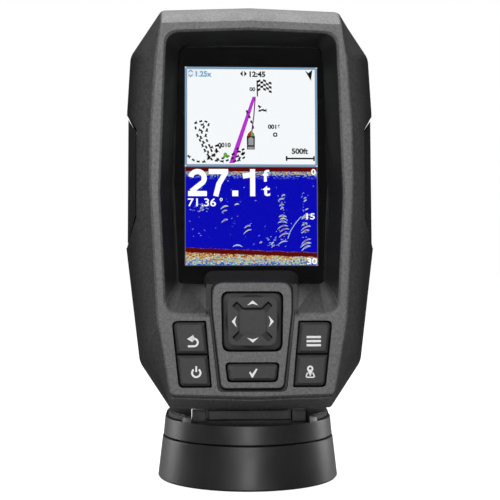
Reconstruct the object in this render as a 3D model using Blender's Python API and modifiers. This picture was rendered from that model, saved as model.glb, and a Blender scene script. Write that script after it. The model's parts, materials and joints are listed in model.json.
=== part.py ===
"""A fish finder on its tilt and swivel mount.

World frame: metres, +Z up, origin on the deck face at the centre of the round base, screen facing -Y.
The head unit and its cradle are drawn in the unit frame: X right, Y from the front plane to the back,
Z up along the case from its bottom edge. That frame leans back about the tilt axle.
"""

import math

import bmesh
import bpy
from mathutils import Matrix, Vector

MM = 0.001

# Head unit, millimetres
CASE_W = 92.4
CASE_H = 152.0
CASE_D = 41.0
CASE_FOOT = 0.6         # the bottom edge above the unit frame's origin
SPLIT_Y = 17.0          # depth of the joint between the front and rear housings
WIDEST_Y = 14.0
NOTCH_X = 42.2          # how far the finger notches cut in from each side
WALL = 2.2
GAP = 0.3               # clearance between neighbouring pieces
LEAN_DEG = 3.5          # how far the case leans back at rest

# Recess, window and display
RECESS_Y = 6.3
GLASS_Y = (6.6, 8.0)
SEAT_Y = 9.0
FLOOR_Y = 10.4
LCD_ACTIVE = (48.96, 73.44)     # active area of a 3.5 inch 2:3 panel
LCD_Z = 91.0                    # height of the display's centre

# Keys
KEY_PROUD = 0.7
KEY_DEPTH = 9.4
KEY_GAP = 0.45
DPAD_Z = 33.4
SIDE_KEYS_Z = (9.7, 33.7)       # the height span of each side column of keys
SELECT_Z = (11.55, 18.75)
PAD_PIVOT = (0, 4.5, DPAD_Z)      # the point that the direction pad rocks about

# Mount
PIVOT_Z = 20.3
TILT_AXLE = (0, 39.5, -5.9)     # the middle of the tilt axle in the unit frame
LATCH_PIN = (0, 37.4, 28.0)     # the middle of the release lever's pin in the unit frame
PIN_HALF = 11.0
PIN_R = 1.0
PIN_HOLE_R = 1.3
AXLE_R = 2.2
BARREL_R = 4.6
BARREL_HALF = 21.8
EAR_INNER = 22.1
EAR_TOP = 26.5
RIM_Z = 23.3
BASE_R = 35.0
BASE_TOP_R = 33.0
BASE_TOP_Z = 16.0
TURRET_Z = 16.45
DECK_HOLE_CIRCLE_R = 21.0
DECK_HOLE_R = 2.2

# Cable socket and case screws, in the unit frame
SOCKET_Z = 72.0
SCREWS = [(34.2, 30.0), (33.0, 92.0), (24.4, 139.4)]
SCREW_HEAD_Y = 29.0
POST_END_Y = 34.0

COLOURS = {
    "case_grey": (0.115, 0.115, 0.118, 0.55, 0.0),
    "case_black": (0.02, 0.02, 0.021, 0.6, 0.0),
    "mount_black": (0.03, 0.03, 0.031, 0.5, 0.0),
    "grip_rubber": (0.012, 0.012, 0.012, 0.85, 0.0),
    "key_rubber": (0.035, 0.035, 0.036, 0.7, 0.0),
    "window_glass": (0.01, 0.01, 0.01, 0.05, 0.0),
    "display": (0.4, 0.5, 0.7, 0.3, 0.0),
    "white_plastic": (0.8, 0.8, 0.8, 0.5, 0.0),
    "circuit_green": (0.02, 0.12, 0.05, 0.5, 0.0),
    "seal_rubber": (0.05, 0.05, 0.05, 0.9, 0.0),
    "steel": (0.6, 0.6, 0.6, 0.3, 1.0),
    "brass": (0.7, 0.55, 0.25, 0.3, 1.0),
    "ceramic": (0.7, 0.66, 0.55, 0.6, 0.0),
    "nylon": (0.75, 0.74, 0.7, 0.5, 0.0),
}


# ---------------------------------------------------------------- scene helpers

def clear_scene():
    for obj in list(bpy.data.objects):
        bpy.data.objects.remove(obj, do_unlink=True)


def new_collection(name):
    collection = bpy.data.collections.new(name)
    bpy.context.scene.collection.children.link(collection)
    return collection


def material(slot):
    found = bpy.data.materials.get(slot)
    if found:
        return found
    red, green, blue, rough, metal = COLOURS[slot]
    made = bpy.data.materials.new(slot)
    made.use_nodes = True
    shader = made.node_tree.nodes["Principled BSDF"]
    shader.inputs["Base Color"].default_value = (red, green, blue, 1)
    shader.inputs["Roughness"].default_value = rough
    shader.inputs["Metallic"].default_value = metal
    return made


def mesh_object(name, bm):
    bmesh.ops.recalc_face_normals(bm, faces=bm.faces)
    mesh = bpy.data.meshes.new(name)
    bm.to_mesh(mesh)
    bm.free()
    obj = bpy.data.objects.new(name, mesh)
    bpy.context.scene.collection.objects.link(obj)
    return obj


def boolean(target, operation, cutter):
    """Applies one Boolean between two plain meshes and removes the cutter."""
    modifier = target.modifiers.new(operation.lower(), "BOOLEAN")
    modifier.operation = operation
    modifier.object = cutter
    bpy.context.view_layer.update()
    graph = bpy.context.evaluated_depsgraph_get()
    made = bpy.data.meshes.new_from_object(target.evaluated_get(graph))
    target.modifiers.clear()
    target.data = made
    bpy.data.objects.remove(cutter, do_unlink=True)
    return target


def cut(target, *cutters):
    for cutter in cutters:
        boolean(target, "DIFFERENCE", cutter)
    return target


def join(target, *others):
    for other in others:
        boolean(target, "UNION", other)
    return target


def finish(obj, slot, parent=None, origin=(0, 0, 0)):
    """Gives a finished piece its material, smooth shading, parent frame and place in the collection.

    The origin is a point on the piece's joint axis, in the parent frame. The piece itself stays in place.
    """
    clean = bmesh.new()
    clean.from_mesh(obj.data)
    bmesh.ops.remove_doubles(clean, verts=clean.verts, dist=0.002 * MM)
    bmesh.ops.dissolve_degenerate(clean, edges=clean.edges, dist=0.002 * MM)
    clean.to_mesh(obj.data)
    clean.free()
    obj.data.materials.clear()
    obj.data.materials.append(material(slot))
    obj.data.shade_smooth()
    obj.data.set_sharp_from_angle(angle=math.radians(35))
    for collection in list(obj.users_collection):
        collection.objects.unlink(obj)
    parts.objects.link(obj)
    obj.parent = parent
    obj.location = Vector(origin) * MM
    obj.data.transform(Matrix.Translation(-obj.location))
    return obj


# ---------------------------------------------------------------- shape helpers

def box(name, x, y, z):
    """A box from three (low, high) pairs in millimetres."""
    bm = bmesh.new()
    bmesh.ops.create_cube(bm, size=1.0)
    size = Vector([(pair[1] - pair[0]) * MM for pair in (x, y, z)])
    centre = Vector([(pair[0] + pair[1]) / 2 * MM for pair in (x, y, z)])
    bmesh.ops.scale(bm, vec=size, verts=bm.verts)
    bmesh.ops.translate(bm, vec=centre, verts=bm.verts)
    return mesh_object(name, bm)


def rod(name, radius, start, end, sides=28, end_radius=None):
    """A cylinder or cone between two points in millimetres."""
    a, b = Vector(start) * MM, Vector(end) * MM
    turn = (b - a).to_track_quat("Z", "Y").to_matrix().to_4x4()
    place = Matrix.Translation((a + b) / 2) @ turn
    bm = bmesh.new()
    bmesh.ops.create_cone(
        bm, cap_ends=True, segments=sides, radius1=radius * MM,
        radius2=(end_radius if end_radius is not None else radius) * MM,
        depth=(b - a).length, matrix=place,
    )
    return mesh_object(name, bm)


def rounded(corners, steps=4):
    """Points of an outline in which each corner (x, z, radius) is an arc of steps + 1 points."""
    points = []
    for i, (x, z, radius) in enumerate(corners):
        here = Vector((x, z))
        before = Vector(corners[i - 1][:2]) - here
        after = Vector(corners[(i + 1) % len(corners)][:2]) - here
        half = before.angle(after) / 2
        if radius <= 0 or half > math.radians(89.5):
            points.append(here.copy())
            continue
        reach = min(radius / math.tan(half), 0.49 * before.length, 0.49 * after.length)
        first = here + before.normalized() * reach
        last = here + after.normalized() * reach
        for k in range(steps + 1):
            t = k / steps
            points.append(first * (1 - t) ** 2 + here * 2 * t * (1 - t) + last * t ** 2)
    return points


def mirrored(half):
    """A closed outline from its right half, listed from the bottom centre to the top centre."""
    left = [(-x, z, r) for x, z, r in reversed(half) if x > 0]
    return half + left


def loft(name, sections):
    """A solid through outlines with equal point counts, each given as (depth y, points in x and z)."""
    bm = bmesh.new()
    rings = [
        [bm.verts.new((p.x * MM, y * MM, p.y * MM)) for p in points]
        for y, points in sections
    ]
    for low, high in zip(rings, rings[1:]):
        count = len(low)
        for i in range(count):
            j = (i + 1) % count
            bm.faces.new((low[i], low[j], high[j], high[i]))
    bm.faces.new(rings[0])
    bm.faces.new(rings[-1])
    return mesh_object(name, bm)


def slab(name, outline, y):
    """An outline in x and z, extruded between two depths."""
    return loft(name, [(y[0], outline), (y[1], outline)])


def side_slab(name, outline, x):
    """An outline of (y, z) points, extruded between two x positions."""
    bm = bmesh.new()
    face = bm.faces.new([bm.verts.new((x[0] * MM, y * MM, z * MM)) for y, z in outline])
    made = bmesh.ops.extrude_face_region(bm, geom=[face])
    moved = [v for v in made["geom"] if isinstance(v, bmesh.types.BMVert)]
    bmesh.ops.translate(bm, vec=((x[1] - x[0]) * MM, 0, 0), verts=moved)
    return mesh_object(name, bm)


def lathe(name, profile, steps=56):
    """A turned solid from (radius, z) points that start and end on the axis."""
    bm = bmesh.new()
    verts = [bm.verts.new((r * MM, 0, z * MM)) for r, z in profile]
    for a, b in zip(verts, verts[1:]):
        bm.edges.new((a, b))
    obj = mesh_object(name, bm)
    screw = obj.modifiers.new("turn", "SCREW")
    screw.steps = steps
    screw.render_steps = steps
    screw.use_merge_vertices = True
    screw.merge_threshold = 0.00001
    bpy.context.view_layer.update()
    made = bpy.data.meshes.new_from_object(
        obj.evaluated_get(bpy.context.evaluated_depsgraph_get())
    )
    bpy.data.objects.remove(obj, do_unlink=True)
    clean = bmesh.new()
    clean.from_mesh(made)
    bmesh.ops.remove_doubles(clean, verts=clean.verts, dist=0.000005)
    return mesh_object(name, clean)


def ring(name, outer, inner, z, steps=40):
    """A flat washer around Z."""
    body = rod(name, outer, (0, 0, z[0]), (0, 0, z[1]), steps)
    return cut(body, rod("hole", inner, (0, 0, z[0] - 1), (0, 0, z[1] + 1), steps))


# ---------------------------------------------------------------- case outlines

def silhouette(inset=0.0):
    """The case's widest outline, moved inwards by inset."""
    half = [
        (0, CASE_FOOT + inset, 0),
        (29.8 - 0.6 * inset, CASE_FOOT + 0.9 + inset, 1.6),
        (41.1 - 0.95 * inset, 18.6 + 0.45 * inset, 8.0),
        (CASE_W / 2 - inset, 61.0, 0),
        (CASE_W / 2 - 0.1 - inset, 112.0, 30.0),
        (44.9 - inset, 133.0 - 0.3 * inset, 7.0),
        (33.3 - 0.75 * inset, CASE_H - 1.2 - inset, 2.6),
        (0, CASE_H - inset, 0),
    ]
    return rounded(mirrored(half))


def waisted(inset):
    """The widest outline with the finger notches, moved inwards by inset, for walls and seals."""
    half = [
        (0, CASE_FOOT + inset, 0),
        (29.8 - 0.6 * inset, CASE_FOOT + 0.9 + inset, 1.6),
        (41.1 - 0.95 * inset, 18.6 + 0.45 * inset, 8.0),
        (CASE_W / 2 - inset, 56.0, 4.0),
        (NOTCH_X - inset, 68.0, 4.0),
        (NOTCH_X - inset, 108.0, 4.0),
        (CASE_W / 2 - 0.4 - inset, 117.0, 4.0),
        (44.7 - inset, 133.0 - 0.3 * inset, 7.0),
        (33.3 - 0.75 * inset, CASE_H - 1.2 - inset, 2.6),
        (0, CASE_H - inset, 0),
    ]
    return rounded(mirrored(half))


def bezel(grow=0.0):
    """The edge of the front face."""
    half = [
        (0, 6.1 - grow, 0),
        (29.6 + grow, 7.0 - grow, 2.2),
        (34.2 + grow, 34.0, 20.0),
        (36.9 + grow, 84.0, 0),
        (36.7 + grow, 104.0, 30.0),
        (35.0 + grow, 130.0, 30.0),
        (33.3 + 0.4 * grow, 142.8 + grow, 1.5),
        (0, 144.0 + grow, 0),
    ]
    return rounded(mirrored(half))


def between(first, second, share):
    """An outline part of the way from one to another with as many points."""
    return [a.lerp(b, share) for a, b in zip(first, second)]


def recess_outline(grow=0.0):
    half = [
        (0, 36.1 - grow, 0),
        (30.8 + grow, 36.1 - grow, 5.0),
        (33.2 + grow, 80.0, 40.0),
        (31.1 + grow, 138.9 + grow, 5.6),
        (0, 140.1 + grow, 0),
    ]
    return rounded(mirrored(half), 6)


def window_outline(grow=0.0):
    half = [
        (0, 47.6 - grow, 0),
        (26.9 + grow, 47.6 - grow, 3.0),
        (28.8 + grow, 80.0, 40.0),
        (26.3 + grow, 135.3 + grow, 3.2),
        (0, 135.9 + grow, 0),
    ]
    return rounded(mirrored(half), 6)


def island_outline(grow=0.0, top=0.0):
    half = [
        (0, 9.4 - grow, 0),
        (11.2 + grow, 9.4 - grow, 2.2),
        (14.3 + grow, 36.8, 20.0),
        (14.3 + grow + top * 0.4, 47.3 + grow + top, 4.2),
        (0, 47.3 + grow + top, 0),
    ]
    return rounded(mirrored(half), 5)


def side_key_outline(sign, low, high, shrink=0.0, corner_low=0.0, corner_high=0.0):
    """A slice of the slanted keypad column between two heights; sign is -1 for the left column."""
    def outer(z):
        return 26.4 + (z - 9.0) * 0.108

    def inner(z):
        return 14.5 + (z - 9.0) * 0.088

    corners = [
        (inner(low) + shrink, low + shrink, 0.5),
        (outer(low) - shrink, low + shrink, corner_low),
        (outer(high) - shrink, high - shrink, corner_high),
        (inner(high) + shrink, high - shrink, 0.5),
    ]
    return rounded([(sign * x, z, r) for x, z, r in corners])


def dpad_outline(shrink=0.0):
    half = [
        (0, DPAD_Z - 10.9 + shrink, 0),
        (10.9 - shrink, DPAD_Z - 10.9 + shrink, 3.0),
        (11.3 - shrink, DPAD_Z + 10.9 - shrink, 2.8),
        (0, DPAD_Z + 10.9 - shrink, 0),
    ]
    return rounded(mirrored(half))


def select_outline(shrink=0.0):
    low, high = SELECT_Z
    half = [
        (0, low + shrink, 0),
        (9.1 - shrink, low + shrink, 1.8),
        (9.9 - shrink, high - shrink, 1.5),
        (0, high - shrink, 0),
    ]
    return rounded(mirrored(half))


# ---------------------------------------------------------------- head unit

def front_housing(frame):
    face, widest = bezel(), silhouette()
    flank = [(0.5, 0.0), (2.6, 0.24), (5.5, 0.52), (9.5, 0.82), (WIDEST_Y, 1.0)]
    sections = [(0.0, bezel(-0.5))] + [(y, between(face, widest, share)) for y, share in flank]
    body = loft("front_housing", sections + [(SPLIT_Y, silhouette(0.35))])
    seam = slab("seam", bezel(1.25), (-1.0, 2.4))
    cut(seam, slab("face", bezel(0.23), (-2.0, 4.0)))
    boolean(seam, "INTERSECT", box("bottom_only", (-29.0, 29.0), (-3, 5), (0, 8.0)))
    cut(body, seam)
    recess = loft("recess", [
        (-1.0, recess_outline(1.7)),
        (0.6, recess_outline(0.35)),
        (RECESS_Y, window_outline(0.35)),
        (SEAT_Y, window_outline(0.35)),
    ])
    cut(body, recess)
    moat = slab("moat", island_outline(1.25), (-1.0, 2.6))
    island = loft("island", [
        (0.0, island_outline(-0.25)),
        (0.3, island_outline()),
        (2.9, island_outline(0.7, 0.9)),
        (RECESS_Y, island_outline(2.4, 2.4)),
    ])
    low_half = box("low_half", (-30, 30), (-2, 12), (0, 46.9))
    foot = boolean(slab("foot", island_outline(2.4), (2.0, FLOOR_Y)), "INTERSECT", low_half)
    cut(body, moat)
    join(body, island, foot)
    cut(body, loft("main_cavity", [
        (FLOOR_Y, waisted(6.4)),
        (WIDEST_Y, waisted(WALL + 0.2)),
        (SPLIT_Y + 1, waisted(WALL + 0.2)),
    ]))
    half_w, half_h = (side / 2 + 1.4 for side in LCD_ACTIVE)
    cut(body, box("lcd_opening", (-half_w, half_w), (5, 12), (LCD_Z - half_h, LCD_Z + half_h)))
    cut(body, slab("dpad_hole", dpad_outline(), (-2, 12)))
    cut(body, slab("select_hole", select_outline(), (-2, 12)))
    for sign in (-1, 1):
        cut(body, slab("side_hole", side_key_outline(sign, *SIDE_KEYS_Z, 0, 1.8, 2.0), (-2, 12)))
        cut(body, side_notch("grip_notch", sign, 0.0, (-1, 30)))
    for sign in (-1, 1):
        for x, z in SCREWS:
            post = rod("post", 3.3, (sign * x, FLOOR_Y - 1.2, z), (sign * x, SPLIT_Y, z), 20)
            join(body, post)
            cut(body, rod("pilot", 1.6, (sign * x, FLOOR_Y + 0.6, z), (sign * x, 20, z), 14))
    return finish(body, "case_grey", frame)


def side_notch(name, sign, shrink, y):
    """The finger notch in the side of the case, or the space for its pad when shrink is a gap."""
    half = [
        (CASE_W / 2 + 6.5, 59.0 + 2.4 * shrink),
        (CASE_W / 2 - 0.3, 61.0 + 2.4 * shrink),
        (NOTCH_X + shrink, 71.5 + 2.0 * shrink),
        (NOTCH_X + shrink, 104.5 - 2.0 * shrink),
        (CASE_W / 2 - 0.3, 110.5 - 2.4 * shrink),
        (CASE_W / 2 + 6.5, 112.5 - 2.4 * shrink),
    ]
    return slab(name, [Vector((sign * x, z)) for x, z in half], y)


def side_grip(sign, frame):
    """The rubber pad that fills a finger notch, just below the case's own outline."""
    name = "side_grip_left" if sign < 0 else "side_grip_right"
    grip = loft(name, [
        (6.5, silhouette(4.6)), (WIDEST_Y, silhouette(0.5)), (18.5, silhouette(0.8)),
        (24.0, silhouette(1.9)), (27.8, silhouette(3.6)),
    ])
    boolean(grip, "INTERSECT", side_notch("clip", sign, GAP + 0.1, (0, 27.8)))
    return finish(grip, "grip_rubber", frame)


def rear_shell(name, inset=0.0):
    """The rear housing's outer form, moved inwards by inset."""
    depths = [(SPLIT_Y + GAP, 0.45), (24.0, 1.3), (31.0, 4.0), (36.5, 8.0), (CASE_D, 13.5)]
    return loft(name, [(y - inset, silhouette(taper + inset)) for y, taper in depths])


def rear_housing(frame):
    body = rear_shell("rear_housing")
    steps = [
        (22.6, 14.7, 100, 151.9, 0.6), (26.0, 14.7, 96, 151.3, 0.6), (33.0, 14.2, 88, 148.0, 1.5),
        (38.0, 13.8, 88, 144.0, 2.5), (CASE_D - 0.3, 13.4, 90, 140.2, 3.0),
    ]
    panel = loft("raised_panel", [
        (y, rounded([(-half, low, 0), (half, low, 0), (half, top, soft), (-half, top, soft)]))
        for y, half, low, top, soft in steps
    ])
    join(body, panel)
    cavity = loft("cavity", [
        (SPLIT_Y - 1, waisted(WALL + 0.4)),
        (24.0, waisted(1.3 + WALL)),
        (30.0, waisted(4.0 + WALL)),
        (34.6, waisted(8.0 + WALL)),
        (CASE_D - WALL, waisted(13.5 + WALL)),
    ])
    cut(body, cavity)
    block = boolean(
        rear_shell("block", 0.7), "INTERSECT", box("clip", (-21.2, 21.2), (30.2, 60), (-5, 53)),
    )
    join(body, block)
    for sign in (-1, 1):
        for x, z in SCREWS:
            at = sign * x
            join(body, rod("post", 3.9, (at, SPLIT_Y + GAP, z), (at, POST_END_Y, z), 20))
            cut(body, rod("clear", 1.7, (at, 10, z), (at, 45, z), 14))
            cut(body, rod("counterbore", 3.1, (at, SCREW_HEAD_Y, z), (at, 50, z), 20))
        cut(body, side_notch("grip_notch", sign, 0.0, (-1, 28.2)))
    cut(
        body,
        box("channel", (-17.5, 17.5), (34.0, 50), (-6, 49)),
        box("rail_groove", (-19.1, 19.1), (36.0, 38.2), (-6, 47.6)),
        box("latch_groove", (-4.6, 4.6), (32.2, 35), (-6, 47)),
        rod("socket_hole", 9.9, (0, 30, SOCKET_Z), (0, 50, SOCKET_Z), 36),
    )
    return finish(body, "case_black", frame)


def window(frame):
    glass = slab("window_glass", window_outline(), GLASS_Y)
    return finish(glass, "window_glass", frame)


def window_gasket(frame):
    body = slab("window_gasket", window_outline(-0.1), (8.25, 8.75))
    cut(body, slab("inner", window_outline(-1.0), (7, 10)))
    return finish(body, "seal_rubber", frame)


def display(frame):
    half_w, half_h = (side / 2 + 1.0 for side in LCD_ACTIVE)
    z = (LCD_Z - half_h, LCD_Z + half_h)
    panel = box("lcd_panel", (-half_w, half_w), (8.35, 10.2), z)
    finish(panel, "display", frame)
    tray = box("lcd_backlight", (-half_w - 1.2, half_w + 1.2), (10.75, 13.2), (z[0] - 1.5, z[1] + 1.5))
    finish(tray, "white_plastic", frame)
    flex = side_slab("lcd_flex_cable", [
        (13.6, 62.0), (13.6, 49.4), (12.9, 48.8), (10.9, 48.8), (10.9, 48.5), (13.1, 48.5),
        (13.9, 49.2), (13.9, 62.0),
    ], (-9, 9))
    finish(flex, "brass", frame)


def keypad_sheet(inset):
    """The outline of the layers behind the keys."""
    half = [
        (0, 8.5 + inset, 0), (24.8, 8.5 + inset, 1.0), (29.6 - inset, 14.8 + inset, 1.0),
        (29.6 - inset, 46.6 - inset, 1.0), (0, 46.6 - inset, 0),
    ]
    return rounded(mirrored(half))


def boards(frame):
    board = box("main_board", (-29.2, 29.2), (14.6, 16.2), (10, 134.6))
    finish(board, "circuit_green", frame)
    finish(slab("key_board", keypad_sheet(0.3), (12.5, 13.7)), "circuit_green", frame)
    finish(slab("keypad_mat", keypad_sheet(0.0), (10.75, 11.55)), "key_rubber", frame)
    finish(slab("dome_switch_sheet", keypad_sheet(0.6), (11.85, 12.2)), "steel", frame)
    antenna = box("gps_antenna", (-9, 9), (16.5, 20.5), (112, 130))
    finish(antenna, "ceramic", frame)
    shield = box("processor_shield", (-24, 2), (16.5, 19.7), (88, 108))
    finish(shield, "steel", frame)
    transformer = box("sonar_transformer", (8, 22), (16.5, 27.5), (90, 104))
    finish(transformer, "ceramic", frame)
    capacitor = rod("sonar_capacitor", 5.0, (22, 16.5, 60), (22, 28.0, 60), 24)
    finish(capacitor, "steel", frame)
    buzzer = rod("buzzer", 7.5, (-20, 16.5, 60), (-20, 20.5, 60), 28)
    finish(buzzer, "case_black", frame)


def housing_seal(frame):
    body = slab("housing_seal", waisted(WALL + 0.8), (15.9, 18.3))
    cut(body, slab("inner", waisted(WALL + 1.9), (14, 20)))
    return finish(body, "seal_rubber", frame)


def cable_socket(frame):
    y_face = CASE_D - 0.4
    body = rod("cable_socket", 9.5, (0, 27, SOCKET_Z), (0, y_face, SOCKET_Z), 36)
    join(body, rod("flange", 12.5, (0, 35.9, SOCKET_Z), (0, 37.7, SOCKET_Z), 36))
    cut(body, rod("bore", 7.4, (0, 29, SOCKET_Z), (0, 45, SOCKET_Z), 36))
    for turn in range(4):
        angle = math.radians(45 + 90 * turn)
        x, z = 7.4 * math.cos(angle), SOCKET_Z + 7.4 * math.sin(angle)
        cut(body, rod("key_slot", 0.9, (x, 33, z), (x, 45, z), 10))
    finish(body, "case_black", frame)
    seal = rod("socket_seal", 12.3, (0, 37.95, SOCKET_Z), (0, 38.5, SOCKET_Z), 36)
    cut(seal, rod("inner", 10.2, (0, 37, SOCKET_Z), (0, 40, SOCKET_Z), 36))
    finish(seal, "seal_rubber", frame)
    insert = rod("socket_contacts", 7.0, (0, 29.3, SOCKET_Z), (0, 31.2, SOCKET_Z), 28)
    for turn in range(4):
        angle = math.radians(90 * turn)
        x, z = 3.4 * math.cos(angle), SOCKET_Z + 3.4 * math.sin(angle)
        join(insert, rod("pin", 0.8, (x, 30, z), (x, 37.5, z), 12))
    finish(insert, "brass", frame)


def case_screws(frame):
    number = 0
    for x, z in SCREWS:
        for sign in (-1, 1):
            number += 1
            at = sign * x
            screw = rod(
                f"case_screw_{number}", 2.7, (at, SCREW_HEAD_Y + 0.3, z),
                (at, SCREW_HEAD_Y + 2.1, z), 18,
            )
            join(screw, rod("shank", 1.25, (at, 13.0, z), (at, SCREW_HEAD_Y + 1, z), 12))
            cut(screw, rod(
                "drive", 1.4, (at, SCREW_HEAD_Y + 1.2, z), (at, SCREW_HEAD_Y + 4, z), 6,
            ))
            finish(screw, "steel", frame)


def key(name, outline, frame):
    """A key cap whose crown narrows towards its flat top, on a stem that reaches the mat."""
    cap = loft(name, [
        (-KEY_PROUD, outline(KEY_GAP + 1.15)),
        (0.15, outline(KEY_GAP + 0.35)),
        (0.6, outline(KEY_GAP)),
        (KEY_DEPTH, outline(KEY_GAP)),
    ])
    rim = outline(0.0)
    centre = sum(rim, Vector((0, 0))) / len(rim)
    return finish(cap, "key_rubber", frame, (centre.x, 0, centre.y))


def keypad(frame):
    def column(sign, low, high, corner_low, corner_high):
        def outline(shrink):
            round_low = max(corner_low - 0.3 * shrink, 0)
            round_high = max(corner_high - 0.3 * shrink, 0)
            return side_key_outline(sign, low, high, shrink, round_low, round_high)
        return outline

    low_end, high_end = SIDE_KEYS_Z
    middle = (low_end + high_end) / 2 - 0.1
    lap = 0.3
    upper = (middle - lap, high_end, 0.6, 2.0)
    lower = (low_end, middle + lap, 1.8, 0.6)
    for name, sign, span in (
        ("back_key", -1, upper), ("power_key", -1, lower),
        ("menu_key", 1, upper), ("mark_key", 1, lower),
    ):
        low, high, corner_low, corner_high = span
        key(name, column(sign, low, high, corner_low, corner_high), frame)
    key("select_key", select_outline, frame)

    pad = loft("direction_pad", [
        (-KEY_PROUD - 0.1, dpad_outline(KEY_GAP + 1.9)),
        (0.4, dpad_outline(KEY_GAP + 0.4)),
        (0.9, dpad_outline(KEY_GAP)),
        (5.6, dpad_outline(KEY_GAP)),
    ])
    top = (-3, 0.8)
    hollow = slab("hollow", rounded([
        (5.0, DPAD_Z - 5.0, 1.6), (5.0, DPAD_Z + 5.0, 1.6),
        (-5.0, DPAD_Z + 5.0, 1.6), (-5.0, DPAD_Z - 5.0, 1.6),
    ]), top)
    for turn in (45, -45):
        arm = slab("arm", rounded([
            (-9.2, -1.2, 0.5), (9.2, -1.2, 0.5), (9.2, 1.2, 0.5), (-9.2, 1.2, 0.5),
        ]), top)
        arm.data.transform(Matrix.Rotation(math.radians(turn), 4, "Y"))
        arm.data.transform(Matrix.Translation((0, 0, DPAD_Z * MM)))
        join(hollow, arm)
    cut(pad, hollow, rod("under", 5.4, (0, 2.6, DPAD_Z), (0, 9, DPAD_Z), 28))
    finish(pad, "key_rubber", frame, PAD_PIVOT)
    post = rod("direction_pad_pivot", 4.4, (0, 3.3, DPAD_Z), (0, 10.4, DPAD_Z), 28, 3.4)
    finish(post, "nylon", frame, PAD_PIVOT)


# ---------------------------------------------------------------- cradle

def cradle(frame):
    """The tilting cradle: floor plate, side tabs, hinge barrel and the spine that the case slides onto."""
    _, pivot_y, pivot_z = TILT_AXLE
    body = box("cradle_frame", (-15.3, 15.3), (28.0, 36.0), (-3.8, -0.6))
    join(body, box("bridge", (-BARREL_HALF, BARREL_HALF), (35.2, 39.5), (-4.6, -0.6)))
    for sign in (-1, 1):
        join(body, box("tab", sorted((sign * 16.6, sign * BARREL_HALF)), (28.0, 36.0), (-4.6, -0.6)))
    join(
        body,
        box("spine", (-17.0, 17.0), (34.5, 39.5), (-3.0, 47.0)),
        box("rails", (-18.7, 18.7), (36.3, 37.9), (8.0, 46.4)),
        rod("barrel", BARREL_R, (-BARREL_HALF, pivot_y, pivot_z), (BARREL_HALF, pivot_y, pivot_z), 32),
    )
    cut(
        body,
        rod("bore", AXLE_R + GAP, (-30, pivot_y, pivot_z), (30, pivot_y, pivot_z), 32),
        box("lever_window", (-8.2, 8.2), (30, 45), (15.0, 44.6)),
        pin_rod("pin_hole", PIN_HOLE_R, PIN_HALF + 0.5),
    )
    finish(body, "mount_black", frame, TILT_AXLE)
    finish(pin_rod("latch_pin", PIN_R, PIN_HALF), "steel", frame, TILT_AXLE)


def pin_rod(name, radius, half_length):
    """A rod on the axis of the release lever's pin."""
    _, y, z = LATCH_PIN
    return rod(name, radius, (-half_length, y, z), (half_length, y, z), 16)


def release_lever(frame):
    lever = box("release_lever", (-7.4, 7.4), (36.2, 38.9), (17.2, 43.8))
    thumb = side_slab("thumb", [
        (38.0, 17.2), (42.6, 17.6), (43.2, 19.0), (41.4, 23.0), (38.0, 26.0),
    ], (-7.4, 7.4))
    nose = side_slab("nose", [
        (36.8, 39.4), (33.4, 41.6), (33.1, 42.4), (33.6, 43.8), (36.8, 43.8),
    ], (-4.0, 4.0))
    join(lever, thumb, nose)
    cut(
        lever,
        pin_rod("pin_hole", PIN_HOLE_R, 9.0),
        box("spring_bay", (-3.2, 3.2), (30, 45), (24.6, 31.4)),
    )
    finish(lever, "mount_black", frame, LATCH_PIN)


def latch_spring(frame):
    """A torsion spring wound around the lever's pin."""
    turns, per_turn, radius, half_width = 4, 12, 1.85, 2.2
    curve = bpy.data.curves.new("latch_spring", "CURVE")
    curve.dimensions = "3D"
    curve.bevel_depth = 0.3 * MM
    curve.bevel_resolution = 1
    curve.use_fill_caps = True
    spline = curve.splines.new("POLY")
    count = turns * per_turn + 1
    spline.points.add(count - 1)
    for i in range(count):
        angle = 2 * math.pi * i / per_turn
        x = -half_width + 2 * half_width * i / (count - 1)
        y, z = LATCH_PIN[1] + radius * math.cos(angle), LATCH_PIN[2] + radius * math.sin(angle)
        spline.points[i].co = (x * MM, y * MM, z * MM, 1)
    obj = bpy.data.objects.new("latch_spring_curve", curve)
    bpy.context.scene.collection.objects.link(obj)
    bpy.context.view_layer.update()
    mesh = bpy.data.meshes.new_from_object(
        obj.evaluated_get(bpy.context.evaluated_depsgraph_get())
    )
    bpy.data.objects.remove(obj, do_unlink=True)
    bm = bmesh.new()
    bm.from_mesh(mesh)
    bmesh.ops.remove_doubles(bm, verts=bm.verts, dist=0.00001)
    finish(mesh_object("latch_spring", bm), "steel", frame, TILT_AXLE)


# ---------------------------------------------------------------- swivel turret and base

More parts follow.
